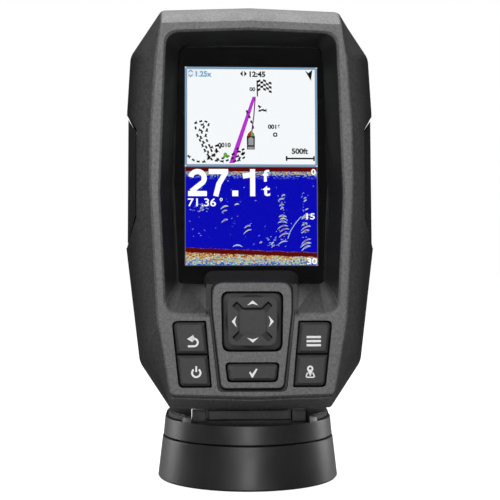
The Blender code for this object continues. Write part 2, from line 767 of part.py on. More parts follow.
def turret():
    """The swivelling cup with two ears that carry the tilt axle."""
    body = lathe("swivel_turret", [
        (0, 9.6), (30.0, 9.6), (30.2, 9.9), (30.2, TURRET_Z), (32.7, TURRET_Z), (32.9, TURRET_Z + 0.2),
        (32.2, 23.6), (31.8, 24.9), (30.9, 25.9), (29.4, EAR_TOP), (0, EAR_TOP),
    ])
    well = slab("well", rounded([
        (EAR_INNER, 12.2, 1.0), (EAR_INNER, 60.0, 0), (-EAR_INNER, 60.0, 0), (-EAR_INNER, 12.2, 1.0),
    ]), (-28.4, 28.4))
    inside = boolean(well, "INTERSECT", rod("round", 29.4, (0, 0, 5), (0, 0, 70), 56))
    above_rim = box("above_rim", (-EAR_INNER, EAR_INNER), (-40, 40), (RIM_Z, 60))
    rear_low = box("rear_low", (-EAR_INNER, EAR_INNER), (12, 40), (19.0, 60))
    slope = side_slab("slope", [(4, 40), (4, EAR_TOP + 0.01), (40, 20.0), (40, 40)], (-40, 40))
    cut(body, inside, above_rim, rear_low, slope)
    for sign in (-1, 1):
        cut(body, rod("bush_bore", 4.0, (sign * 20, 0, PIVOT_Z), (sign * 28.4, 0, PIVOT_Z), 28))
        cut(body, ear_slot(sign, 0.0, 2.4))
    cut(body, rod("bolt_bore", 3.4, (0, 0, 5), (0, 0, 20), 28))
    return finish(body, "mount_black")


def ear_slot(sign, shrink, depth):
    """A slot that wraps round the shoulder of an ear, or the pad in it when shrink is a gap."""
    name = "slot" if shrink == 0 else ("ear_pad_left" if sign < 0 else "ear_pad_right")
    low, high = 23.4 + shrink, 25.7 - shrink
    inner, outer = 31.9 - depth, 36.0 if shrink == 0 else 31.0
    first, last, steps = 176 + shrink * 2, 218 - shrink * 2, 10
    bm = bmesh.new()
    rings = []
    for k in range(steps + 1):
        angle = math.radians(first + (last - first) * k / steps)
        across, along = -sign * math.cos(angle), math.sin(angle)
        rings.append([
            bm.verts.new((across * r * MM, along * r * MM, z * MM))
            for r, z in ((inner, low), (outer, low), (outer, high), (inner, high))
        ])
    for a, b in zip(rings, rings[1:]):
        for i in range(4):
            j = (i + 1) % 4
            bm.faces.new((a[i], a[j], b[j], b[i]))
    bm.faces.new(rings[0])
    bm.faces.new(rings[-1])
    return mesh_object(name, bm)


def tilt_hardware():
    axle_half = 28.0
    finish(rod("tilt_axle", AXLE_R, (-axle_half, 0, PIVOT_Z), (axle_half, 0, PIVOT_Z), 28), "steel")
    for sign, side in ((-1, "left"), (1, "right")):
        inner, outer = sign * (EAR_INNER + 0.2), sign * axle_half
        bush = rod(f"tilt_bush_{side}", 3.7, (inner, 0, PIVOT_Z), (outer, 0, PIVOT_Z), 28)
        cut(bush, rod("hole", AXLE_R + GAP, (sign * 18, 0, PIVOT_Z), (sign * 32, 0, PIVOT_Z), 28))
        finish(bush, "nylon")
        finish(ear_slot(sign, GAP, 2.1), "grip_rubber")


def base():
    body = lathe("mount_base", [
        (0, 0), (BASE_R - 0.5, 0), (BASE_R, 0.6), (BASE_TOP_R + 0.2, BASE_TOP_Z - 0.3),
        (BASE_TOP_R - 0.1, BASE_TOP_Z), (30.7, BASE_TOP_Z),
        (30.7, 3.2), (9.0, 3.2), (9.0, 8.2), (3.4, 8.2), (3.4, 1.6), (0, 1.6),
    ])
    for turn in range(3):
        angle = math.radians(90 + 120 * turn)
        x, y = DECK_HOLE_CIRCLE_R * math.cos(angle), DECK_HOLE_CIRCLE_R * math.sin(angle)
        cut(
            body,
            rod("deck_screw_hole", DECK_HOLE_R, (x, y, -2), (x, y, 6), 20),
            rod("countersink", DECK_HOLE_R, (x, y, 1.2), (x, y, 3.3), 20, 2 * DECK_HOLE_R),
        )
    finish(body, "mount_black")
    finish(ring("swivel_friction_ring", 8.8, 3.6, (8.5, 9.3)), "nylon")
    finish(ring("swivel_spring_washer", 7.0, 3.6, (12.5, 13.1)), "steel")
    bolt = rod("swivel_bolt", 6.0, (0, 0, 13.4), (0, 0, 15.3), 28)
    join(bolt, rod("shank", 3.0, (0, 0, 2.0), (0, 0, 14.0), 24))
    cut(bolt, rod("hex", 2.0, (0, 0, 14.2), (0, 0, 18), 6))
    finish(bolt, "steel")


# ---------------------------------------------------------------- build

clear_scene()
parts = new_collection("fish_finder")

lean = Matrix.Rotation(math.radians(-LEAN_DEG), 4, "X")
unit_frame = bpy.data.objects.new("unit_frame", None)
parts.objects.link(unit_frame)
unit_frame.rotation_euler = (math.radians(-LEAN_DEG), 0, 0)
unit_frame.location = Vector((0, 0, PIVOT_Z * MM)) - lean @ (Vector(TILT_AXLE) * MM)

front_housing(unit_frame)
rear_housing(unit_frame)
side_grip(-1, unit_frame)
side_grip(1, unit_frame)
window(unit_frame)
window_gasket(unit_frame)
display(unit_frame)
boards(unit_frame)
housing_seal(unit_frame)
cable_socket(unit_frame)
case_screws(unit_frame)
keypad(unit_frame)
cradle(unit_frame)
release_lever(unit_frame)
latch_spring(unit_frame)
turret()
tilt_hardware()
base()
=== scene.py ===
"""Looks for a fish finder on a tilt and swivel mount, built around its solid parts."""

import json
import math
import random

import bmesh
import bpy
from mathutils import Matrix, Vector

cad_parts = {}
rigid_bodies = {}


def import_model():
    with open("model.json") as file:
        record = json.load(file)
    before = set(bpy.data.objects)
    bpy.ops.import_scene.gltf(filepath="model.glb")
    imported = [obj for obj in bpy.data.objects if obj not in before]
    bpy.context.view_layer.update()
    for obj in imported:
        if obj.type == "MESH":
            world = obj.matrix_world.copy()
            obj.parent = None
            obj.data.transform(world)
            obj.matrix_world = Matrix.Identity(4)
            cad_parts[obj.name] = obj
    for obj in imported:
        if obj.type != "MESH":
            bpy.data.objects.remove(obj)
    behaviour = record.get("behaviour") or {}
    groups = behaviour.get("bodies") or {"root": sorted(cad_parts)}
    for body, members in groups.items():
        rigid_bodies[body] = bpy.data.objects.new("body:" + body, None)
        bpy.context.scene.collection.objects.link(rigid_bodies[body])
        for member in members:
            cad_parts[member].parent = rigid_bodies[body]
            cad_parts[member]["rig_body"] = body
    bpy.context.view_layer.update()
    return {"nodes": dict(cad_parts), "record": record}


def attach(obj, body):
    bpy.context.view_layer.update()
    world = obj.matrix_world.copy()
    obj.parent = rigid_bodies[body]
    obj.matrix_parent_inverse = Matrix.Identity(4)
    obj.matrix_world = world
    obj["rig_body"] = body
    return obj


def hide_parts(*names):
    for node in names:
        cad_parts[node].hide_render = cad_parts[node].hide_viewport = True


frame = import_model()

MM = 0.001

# The head unit leans back: its own frame has Y from the front plane inwards and Z up the case.
LEAN = math.radians(3.5)
UNIT_ORIGIN = Vector((0, -39.066, 28.600))
TO_WORLD = Matrix.Scale(MM, 4) @ Matrix.Translation(UNIT_ORIGIN) @ Matrix.Rotation(-LEAN, 4, "X")

# Camera
CAMERA_AT = (-20.41 * MM, -449.54 * MM, 85.2 * MM)
CAMERA_YAW = math.radians(-2.6)
LENS_MM = 82.5
SHIFT = (0.0046, 0.014)

# Display panes, millimetres in the unit frame
PANE_X = 24.6
PANE_MIDDLE = 0.2
PANE_TOP = 128.0
PANE_SPLIT = 90.75
PANE_BOTTOM = 53.95
PANE_Y = 8.32
CELL_PITCH = 0.153
BOTTOM_ECHO_Z = 59.25

# Steps towards the viewer: between the display's layers, and between strokes that overlap
LAYER = 0.02
HAIR = 0.002

# Figures of the depth reading: foot, height and stroke
FIGURE_FOOT = 79.7
FIGURE_HEIGHT = 10.1
FIGURE_STROKE = 1.9

# Print behind the window: its level, corner centres, corner radius, widest point and the gap that
# it keeps around the picture
PRINT_Y = 8.12
PRINT_TOP = (25.6, 134.3)
PRINT_BOTTOM = (25.4, 49.0)
PRINT_CORNER_R = 1.2
PRINT_WIDEST = (28.3, 84.0)
PRINT_GAP = 0.12

# Hollows of the case front, which get painted shade: from where to where up the case they are
# darkened, and how far from its middle the painted shade fades out
RECESS_Z = (35.0, 140.4)
RECESS_SIDE = (33.3, 34.2)
HOOD_Z = (35.0, 50.8)
HOOD_SIDE = (16.4, 17.6)
WELLS_Z = (6.9, 48.0)
WELLS_SIDE = (29.8, 30.4)

# Solids of the frame whose curved faces are shown smooth
REFINED = [
    "front_housing", "rear_housing", "mount_base", "swivel_turret", "cradle_frame", "release_lever",
    "side_grip_left", "side_grip_right", "ear_pad_left", "ear_pad_right", "direction_pad",
    "cable_socket", "back_key", "power_key", "menu_key", "mark_key", "select_key", "tilt_axle",
    "swivel_bolt",
]

# Those of them that are turned about the upright axis
TURNED = ["mount_base", "swivel_turret"]

# Solids below the head, which the side lights and the low front light pick out
MOUNT_PIECES = [
    "mount_base", "swivel_turret", "ear_pad_left", "ear_pad_right", "tilt_axle", "cradle_frame",
]

# Keypad: middle of the pad, where the painted shade of its hollow fades out, levels of the tops,
# and how far the legends stand off them
PAD_MIDDLE = (0.1, 33.4)
PAD_HOLLOW_R = (9.6, 9.9)
KEY_TOP_Y = -0.7
PAD_TOP_Y = -0.8
PRINT_LIFT = 0.035


# ---------------------------------------------------------------- material graph

class Graph:
    """Short calls for building a material's nodes."""

    def __init__(self, name):
        self.material = bpy.data.materials.new(name)
        self.material.use_nodes = True
        self.tree = self.material.node_tree
        self.shader = self.tree.nodes["Principled BSDF"]

    def link(self, source, target):
        self.tree.links.new(source, target)

    def node(self, kind, inputs=(), **settings):
        made = self.tree.nodes.new(kind)
        for key, value in settings.items():
            setattr(made, key, value)
        for slot, value in dict(inputs).items():
            self.feed(made.inputs[slot], value)
        return made

    def feed(self, socket, value):
        if isinstance(value, bpy.types.NodeSocket):
            self.link(value, socket)
        elif value is not None:
            socket.default_value = value

    def math(self, operation, a, b=None):
        inputs = {0: a} if b is None else {0: a, 1: b}
        return self.node("ShaderNodeMath", inputs, operation=operation).outputs[0]

    def product(self, first, *factors):
        for factor in factors:
            first = self.math("MULTIPLY", first, factor)
        return first

    def total(self, first, *terms):
        for term in terms:
            first = self.math("ADD", first, term)
        return first

    def complement(self, value):
        """1 less the value."""
        return self.math("SUBTRACT", 1.0, value)

    def vector(self, operation, a, b):
        slot = "Scale" if operation == "SCALE" else 1
        return self.node("ShaderNodeVectorMath", {0: a, slot: b}, operation=operation).outputs[0]

    def mix(self, factor, a, b):
        made = self.node("ShaderNodeMix", data_type="RGBA")
        for socket, value in zip((made.inputs[0], made.inputs[6], made.inputs[7]), (factor, a, b)):
            self.feed(socket, value)
        return made.outputs[2]

    def step(self, value, low, high):
        """0 below low and 1 above high, smooth between."""
        made = self.node(
            "ShaderNodeMapRange", {"Value": value, "From Min": low, "From Max": high},
            interpolation_type="SMOOTHSTEP",
        )
        return made.outputs["Result"]

    def fall(self, value, low, high):
        """1 below low and 0 above high, smooth between."""
        return self.complement(self.step(value, low, high))

    def noise(self, vector, scale, detail=2.0, rough=0.5):
        made = self.node("ShaderNodeTexNoise", {
            "Vector": vector, "Scale": scale, "Detail": detail, "Roughness": rough,
        })
        return made.outputs["Fac"]

    def coordinates(self, leaned):
        """Object coordinates in millimetres, in the unit frame if leaned."""
        place = self.node("ShaderNodeTexCoord").outputs["Object"]
        place = self.vector("SCALE", place, 1 / MM)
        if leaned:
            place = self.vector("SUBTRACT", place, tuple(UNIT_ORIGIN))
            turn = self.node(
                "ShaderNodeVectorRotate", {"Vector": place, "Angle": LEAN}, rotation_type="X_AXIS",
            )
            place = turn.outputs[0]
        return place

    def split(self, vector):
        return self.node("ShaderNodeSeparateXYZ", {0: vector}).outputs

    def bump(self, height, distance, edge=0.0):
        """Relief from a height, on edges rounded by the given radius."""
        inputs = {"Height": height, "Distance": distance, "Strength": 1.0}
        if edge:
            inputs["Normal"] = self.node("ShaderNodeBevel", {"Radius": edge}, samples=4).outputs[0]
        made = self.node("ShaderNodeBump", inputs)
        self.link(made.outputs[0], self.shader.inputs["Normal"])

    def set(self, **values):
        for key, value in values.items():
            self.feed(self.shader.inputs[key.replace("_", " ")], value)


def colour(red, green, blue):
    return (red, green, blue, 1.0)


def grey(level, tint=(1.0, 1.0, 1.0)):
    return colour(*(level * part for part in tint))


WATER = colour(0.0, 0.0, 0.50)
ECHO_DEEP_RED = colour(0.11, 0.0, 0.0)


# ---------------------------------------------------------------- materials

def moulded(name, level, leaned, tint=(1.0, 1.0, 1.0), grain=0.5, size=0.42, rough=0.5,
            relief=0.03, specular=0.5, edge=0.25, shade=None):
    """Moulded plastic or rubber: fine spark-eroded grain, slow mottling and rubbed patches.

    shade gives a factor of painted shade by place, where 1 keeps the colour and 0 turns it black.
    """
    g = Graph(name)
    place = g.coordinates(leaned)
    fine = g.noise(place, 1 / size, 2.0, 0.6)
    coarse = g.noise(place, 0.35 / size, 1.0, 0.5)
    cloud = g.noise(place, 0.035, 3.0, 0.55)
    speckle = g.total(g.product(fine, 0.7), g.product(coarse, 0.3))
    spread = g.step(speckle, 0.36, 0.64)
    low, high = grey(level * (1 - grain), tint), grey(level * (1 + grain), tint)
    base = g.mix(spread, low, high)
    base = g.mix(g.product(g.step(cloud, 0.45, 0.7), 0.12), base, grey(level * 1.5, tint))
    # Painted shade: the colour is mixed towards black where the shade factor falls.
    if shade:
        base = g.mix(shade(g, place), colour(0.0, 0.0, 0.0), base)
    g.set(Base_Color=base, Specular_IOR_Level=specular)
    wear = g.step(g.noise(place, 0.09, 4.0, 0.6), 0.42, 0.62)
    g.set(Roughness=g.total(g.product(wear, -0.06), rough + 0.03, g.product(fine, 0.06)))
    g.bump(speckle, relief * MM, edge=edge * MM)
    return g.material


def case_painted_shade(g, place):
    """Painted shade: full on the front face, deeper in the display recess and key wells and along the
    flanks.
    """
    x, y, z = g.split(place)
    aside = g.math("ABSOLUTE", x)
    across = g.math("ABSOLUTE", g.split(g.node("ShaderNodeTexCoord").outputs["Normal"])[0])
    # Painted shade along the flanks, where the surface faces sideways, stronger further back.
    further_back = g.total(g.product(g.step(y, 1.0, 13.0), 0.36), 0.56)
    flank = g.product(g.step(across, 0.22, 0.55), g.step(y, 0.5, 1.1), further_back)

    # Painted shade in the display recess, the pad hood and the key wells.
    recess = g.product(
        g.step(y, 0.55, 1.2), g.fall(aside, *RECESS_SIDE), band(g, z, *RECESS_Z, 0.4),
        g.total(g.product(g.step(z, 41.0, 49.5), 0.39), 0.58),
    )
    hood = g.product(g.step(y, 0.4, 0.9), g.fall(aside, *HOOD_SIDE), band(g, z, *HOOD_Z, 0.5), 0.88)
    slope = g.product(g.step(z, 35.0, 36.2), g.step(aside, 15.4, 16.0))
    wells = g.product(
        g.step(y, 0.35, 0.7), g.fall(aside, *WELLS_SIDE), band(g, z, *WELLS_Z, 0.3),
        g.complement(slope), 0.82,
    )
    deepest = g.math("MAXIMUM", g.math("MAXIMUM", flank, recess), g.math("MAXIMUM", hood, wells))
    return g.complement(deepest)


def key_painted_shade(g, place):
    """Painted shade: deeper on the skirt of a key, down in its well."""
    _, y, _ = g.split(place)
    return g.complement(g.product(g.step(y, 0.05, 0.4), 0.85))


def pad_painted_shade(g, place):
    """Painted shade: deeper on the skirt, and on the walls and in the arms of the cross-shaped hollow.
    """
    x, y, z = g.split(place)
    height = g.math("SUBTRACT", z, PAD_MIDDLE[1])
    far = g.math("SQRT", g.total(g.product(x, x), g.product(height, height)))
    hollow = g.fall(far, *PAD_HOLLOW_R)
    walls = g.product(band(g, y, -0.6, 0.62, 0.1), hollow)
    arms = g.product(g.step(y, 0.4, 0.6), g.step(far, 5.4, 6.4), hollow)
    inner = g.product(g.math("MAXIMUM", walls, arms), 0.68)
    skirt = g.product(g.step(y, 0.25, 0.6), g.complement(hollow), 0.85)
    return g.complement(g.math("MAXIMUM", inner, skirt))


def metal(name, tone, brushed=True):
    """Machined metal: fine turning lines, faint stains and small dents."""
    g = Graph(name)
    place = g.coordinates(False)
    stretched = g.node("ShaderNodeMapping", {"Vector": place, "Scale": (0.4, 6.0, 6.0)}).outputs[0]
    lines = g.noise(stretched if brushed else place, 1.6, 3.0, 0.6)
    stain = g.step(g.noise(place, 0.3, 4.0, 0.6), 0.4, 0.7)
    pale = colour(*tone)
    dull = colour(*(part * 0.72 for part in tone))
    g.set(Base_Color=g.mix(stain, pale, dull), Metallic=1.0)
    g.set(Roughness=g.total(g.product(lines, 0.22), 0.2))
    g.bump(lines, 0.01 * MM)
    return g.material


def circuit_board(name):
    """Solder mask over fine copper tracks, with rows of bright pads."""
    g = Graph(name)
    place = g.coordinates(True)
    x, _, z = g.split(place)
    tracks = g.node("ShaderNodeTexBrick", {
        "Vector": g.node("ShaderNodeCombineXYZ", {0: x, 1: z}).outputs[0], "Scale": 0.25,
        "Mortar Size": 0.03, "Mortar": colour(0.03, 0.22, 0.09),
        "Color1": colour(0.008, 0.07, 0.03), "Color2": colour(0.01, 0.10, 0.04),
    }).outputs["Color"]
    pads = g.node("ShaderNodeTexVoronoi", {"Vector": place, "Scale": 0.45}).outputs["Distance"]
    dots = g.fall(pads, 0.1, 0.16)
    g.set(Base_Color=g.mix(dots, tracks, colour(0.75, 0.6, 0.3)), Roughness=0.35, Metallic=dots)
    g.bump(g.noise(place, 2.0), 0.02 * MM)
    return g.material


def printed(name, tone, rough=0.55, specular=0.5):
    """A printed legend: slightly uneven ink."""
    g = Graph(name)
    place = g.coordinates(True)
    ink = g.noise(place, 3.0, 3.0, 0.6)
    thin = colour(*(0.86 * part for part in tone))
    g.set(Base_Color=g.mix(ink, thin, colour(*tone)), Roughness=rough, Specular_IOR_Level=specular)
    g.bump(ink, 0.005 * MM)
    return g.material


def lit(name, tone, strength=1.0):
    """A lit area of the display, with the fine grid of its cells."""
    g = Graph(name)
    place = g.coordinates(True)
    x, _, z = g.split(place)
    light = g.mix(cell_grid(g, x, z), colour(*(0.9 * part for part in tone)), colour(*tone))
    emit(g, light, strength)
    return g.material


def cell_grid(g, x, z):
    """Fine bright cells on the display's pitch."""
    turns = 2 * math.pi / CELL_PITCH
    across = g.math("SINE", g.product(x, turns))
    up = g.math("SINE", g.product(z, turns))
    return g.step(g.product(across, up), -0.6, 0.2)


def emit(g, light, strength=1.0):
    g.set(Base_Color=colour(0.0, 0.0, 0.0), Roughness=0.6, Specular_IOR_Level=0.0)
    g.feed(g.shader.inputs["Emission Color"], light)
    g.shader.inputs["Emission Strength"].default_value = strength


def map_picture(name):
    """A white chart with a faint shoal shade in its upper left."""
    g = Graph(name)
    place = g.coordinates(True)
    x, _, z = g.split(place)
    wave = g.product(g.noise(place, 0.12, 3.0), 6.0)
    edge = g.total(g.product(z, 0.9), g.product(x, -0.28), wave)
    shoal = g.product(g.step(edge, 121.0, 122.0), g.step(g.product(x, -1.0), 12.0, 14.0))
    chart = g.mix(shoal, colour(1.0, 1.02, 1.03), colour(0.90, 0.91, 0.92))
    light = g.mix(cell_grid(g, x, z), g.mix(0.03, chart, colour(0.5, 0.5, 0.5)), chart)
    emit(g, light)
    return g.material


def sonar_picture(name):
    """Deep blue water between a surface echo and a bottom echo that break up into coloured speckle."""
    g = Graph(name)
    place = g.coordinates(True)
    x, _, z = g.split(place)
    flat = g.node("ShaderNodeCombineXYZ", {0: x, 1: z}).outputs[0]
    grains = speckle_cells(g, flat, (0.52, 0.30))
    specks = speckle_cells(g, flat, (0.34, 0.34))
    medium = g.noise(flat, 0.9, 3.0, 0.6)
    depth = g.math("SUBTRACT", PANE_SPLIT - 0.35, z)
    rise = g.total(g.product(x, -0.04), g.product(g.noise(flat, 0.25, 3.0), 0.9))
    below = g.math("SUBTRACT", g.total(rise, BOTTOM_ECHO_Z), z)

    drift = g.noise(flat, 0.35, 3.0, 0.6)
    water = g.mix(g.step(g.product(specks, drift), 0.60, 0.64), WATER, colour(0.10, 0.16, 0.62))
    fringe = g.fall(depth, 1.6, 4.8)
    sparkle = g.step(g.total(grains, g.product(fringe, 0.30)), 0.84, 0.92)
    light = g.mix(g.product(sparkle, fringe), water, colour(0.55, 0.72, 0.88))
    surface = g.total(g.product(grains, 0.34), 0.36)
    light = g.mix(band(g, depth, 1.5, 2.7, 0.3), light, echo_ramp(g, surface))
    light = g.mix(g.fall(depth, 1.4, 1.6), light, ECHO_DEEP_RED)

    fade = g.total(g.product(below, -0.055), g.product(x, -0.0025))
    streaks = speckle_cells(g, flat, (1.4, 0.30))
    mottle = g.total(g.product(grains, 0.24), g.product(streaks, 0.10), g.product(medium, 0.40))
    rubble = echo_ramp(g, g.total(mottle, fade, 0.38))
    rubble = g.mix(g.step(specks, 0.90, 0.92), rubble, colour(0.80, 0.82, 0.80))
    light = g.mix(g.step(below, -0.1, 0.1), light, rubble)
    light = g.mix(band(g, below, 0.0, 1.7, 0.2), light, ECHO_DEEP_RED)
    emit(g, g.mix(cell_grid(g, x, z), g.mix(0.1, light, colour(0, 0, 0)), light))
    return g.material


def speckle_cells(g, flat, size):
    """A steady random value from 0 to 1 in each cell of a fine grid."""
    snap = g.node("ShaderNodeVectorMath", {0: flat, 1: (*size, 1.0)}, operation="SNAP")
    noise = g.node("ShaderNodeTexWhiteNoise", {"Vector": snap.outputs[0]}, noise_dimensions="3D")
    return noise.outputs["Value"]


def band(g, value, low, high, soft):
    """1 where value lies between low and high."""
    return g.product(g.step(value, low - soft, low + soft), g.fall(value, high - soft, high + soft))


def echo_ramp(g, strength):
    """Echo strength from blue water through cyan, yellow and orange to dark red."""
    ramp = g.node("ShaderNodeValToRGB", {0: strength})
    stops = [
        (0.38, WATER),
        (0.45, colour(0.06, 0.26, 0.55)),
        (0.52, colour(0.35, 0.60, 0.50)),
        (0.58, colour(0.72, 0.62, 0.25)),
        (0.65, colour(0.62, 0.24, 0.05)),
        (0.76, colour(0.20, 0.01, 0.0)),
    ]
    elements = ramp.color_ramp.elements
    while len(elements) < len(stops):
        elements.new(0.5)
    for element, (position, tone) in zip(elements, stops):
        element.position = position
        element.color = tone
    return ramp.outputs[0]


def window_material(name):
    """Clear cover glass with a few faint smears."""
    g = Graph(name)
    smear = g.noise(g.coordinates(True), 0.12, 4.0, 0.65)
    g.set(Base_Color=colour(0.98, 0.99, 1.0), Transmission_Weight=1.0, IOR=1.45)
    g.set(Roughness=g.product(g.step(smear, 0.5, 0.8), 0.03))
    return g.material


# ---------------------------------------------------------------- pieces

def place_mesh(name, bm, material, body, shift=0.0):
    """Makes a piece of a mesh drawn in the unit frame, moved right by a shift."""
    bmesh.ops.translate(bm, vec=(shift, 0, 0), verts=bm.verts)
    mesh = bpy.data.meshes.new(name)
    bm.to_mesh(mesh)
    bm.free()
    mesh.transform(TO_WORLD)
    mesh.materials.append(material)
    obj = bpy.data.objects.new(name, mesh)
    bpy.context.scene.collection.objects.link(obj)
    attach(obj, body)
    return obj


def add_polygon(bm, points, y):
    face = bm.faces.new([bm.verts.new((x, y, z)) for x, z in points])
    face.normal_update()
    if face.normal.y > 0:
        face.normal_flip()


def add_stroke(bm, points, width, y):
    """A flat line of one width along some points, with mitred corners."""
    points = [Vector(p) for p in points]
    half = width / 2
    left, right = [], []
    for i, here in enumerate(points):
        back = (here - points[i - 1]).normalized() if i else None
        ahead = (points[i + 1] - here).normalized() if i + 1 < len(points) else None
        along = (back or ahead) if back is None or ahead is None else (back + ahead).normalized()
        reach = half
        if back is not None and ahead is not None:
            reach = half / max(along.dot(ahead), 0.4)
        normal = Vector((-along.y, along.x)) * reach
        left.append(here + normal)
        right.append(here - normal)
    for i in range(len(points) - 1):
        add_polygon(bm, [left[i], left[i + 1], right[i + 1], right[i]], y)


def arc(centre, radius, start, end, steps=24):
    """Points on an arc, angles in degrees from +X towards +Z."""
    angles = [math.radians(start + (end - start) * k / steps) for k in range(steps + 1)]
    return [(centre[0] + radius * math.cos(a), centre[1] + radius * math.sin(a)) for a in angles]


def add_dashes(bm, points, on, off, width, y):
    """A dashed line along some points."""
    points = [Vector(p) for p in points]
    travelled, pen = 0.0, []
    for a, b in zip(points, points[1:]):
        count = max(int((b - a).length / 0.1), 1)
        for k in range(count):
            p = a.lerp(b, k / count)
            if travelled % (on + off) < on:
                pen.append(p)
            else:
                if len(pen) > 1:
                    add_stroke(bm, pen[::3] + [pen[-1]] if len(pen) > 3 else pen, width, y)
                pen = []
            travelled += (b - a).length / count


def text_mesh(body, size, at, y, bold=0.0, squeeze=1.0):
    """Characters as a flat mesh, their lower left corner at the given point."""
    curve = bpy.data.curves.new("characters", "FONT")
    curve.body = body
    curve.size = size
    curve.offset = bold
    obj = bpy.data.objects.new("characters", curve)
    bpy.context.scene.collection.objects.link(obj)
    bpy.context.view_layer.update()
    mesh = bpy.data.meshes.new_from_object(obj.evaluated_get(bpy.context.evaluated_depsgraph_get()))
    bpy.data.objects.remove(obj, do_unlink=True)
    bpy.data.curves.remove(curve)
    bm = bmesh.new()
    bm.from_mesh(mesh)
    bpy.data.meshes.remove(mesh)
    low = min(v.co.x for v in bm.verts)
    for v in bm.verts:
        v.co = Vector(((v.co.x - low) * squeeze + at[0], y, v.co.y + at[1]))
    return bm


def merge(target, extra):
    mesh = bpy.data.meshes.new("part")
    extra.to_mesh(mesh)
    extra.free()
    target.from_mesh(mesh)
    bpy.data.meshes.remove(mesh)


# ---------------------------------------------------------------- display

def display(ink):
    """Everything on the display, in flat layers one before another."""
    depth = [PANE_Y - LAYER * k for k in range(6)]
    panes(ink, depth)
    course(ink, depth)
    chart_marks(ink, depth)
    boat(ink, depth)
    echoes(ink, depth)
    readings(ink, depth)


def show(name, bm, ink):
    """A piece on the display, whose middle is a little right of the case's."""
    place_mesh(name, bm, ink, "head", PANE_MIDDLE)


def panes(ink, depth):
    upper = bmesh.new()
    add_grid(upper, (-PANE_X, PANE_X), (PANE_SPLIT, PANE_TOP), depth[0])
    show("chart_pane", upper, ink["chart"])
    lower = bmesh.new()
    add_grid(lower, (-PANE_X, PANE_X), (PANE_BOTTOM, PANE_SPLIT), depth[0])
    show("sonar_pane", lower, ink["sonar"])
    for name, low, high, width, tone in (
        ("chart_border", PANE_SPLIT, PANE_TOP, 0.85, "pale_blue"),
        ("sonar_border", PANE_BOTTOM, PANE_SPLIT, 0.3, "mid_grey"),
    ):
        border = bmesh.new()
        inset = width / 2
        half, bottom, top = PANE_X - inset, low + inset, high - inset
        corners = [(-half, bottom), (half, bottom), (half, top), (-half, top)]
        for a, b in zip(corners, corners[1:] + corners[:1]):
            add_stroke(border, [a, b], width, depth[1])
        show(name, border, ink[tone])


def add_grid(bm, x, z, y, columns=24, rows=18):
    """A flat grid of faces that look out of the display."""
    for i in range(columns):
        for j in range(rows):
            xs = [x[0] + (x[1] - x[0]) * (i + k) / columns for k in (0, 1)]
            zs = [z[0] + (z[1] - z[0]) * (j + k) / rows for k in (0, 1)]
            add_polygon(bm, [(xs[0], zs[0]), (xs[1], zs[0]), (xs[1], zs[1]), (xs[0], zs[1])], y)
    bmesh.ops.remove_doubles(bm, verts=bm.verts, dist=0.0005)


def course(ink, depth):
    line = bmesh.new()
    add_polygon(line, [(-8.2, 92.0), (-6.3, 92.0), (1.7, 116.9), (0.5, 116.9)], depth[2])
    show("course_line", line, ink["magenta"])
    track = bmesh.new()
    add_stroke(track, [(1.5, 116.6), (1.0, 110.0), (0.2, 103.8)], 0.42, depth[3])
    show("course_track", track, ink["plum"])
    shrub = bmesh.new()
    for x, z, r in ((-9.6, 95.2, 0.75), (-8.9, 94.5, 0.65), (-10.0, 94.4, 0.5)):
        add_polygon(shrub, arc((x, z), r, 0, 330, 7), depth[3])
    show("chart_shallow", shrub, ink["green"])


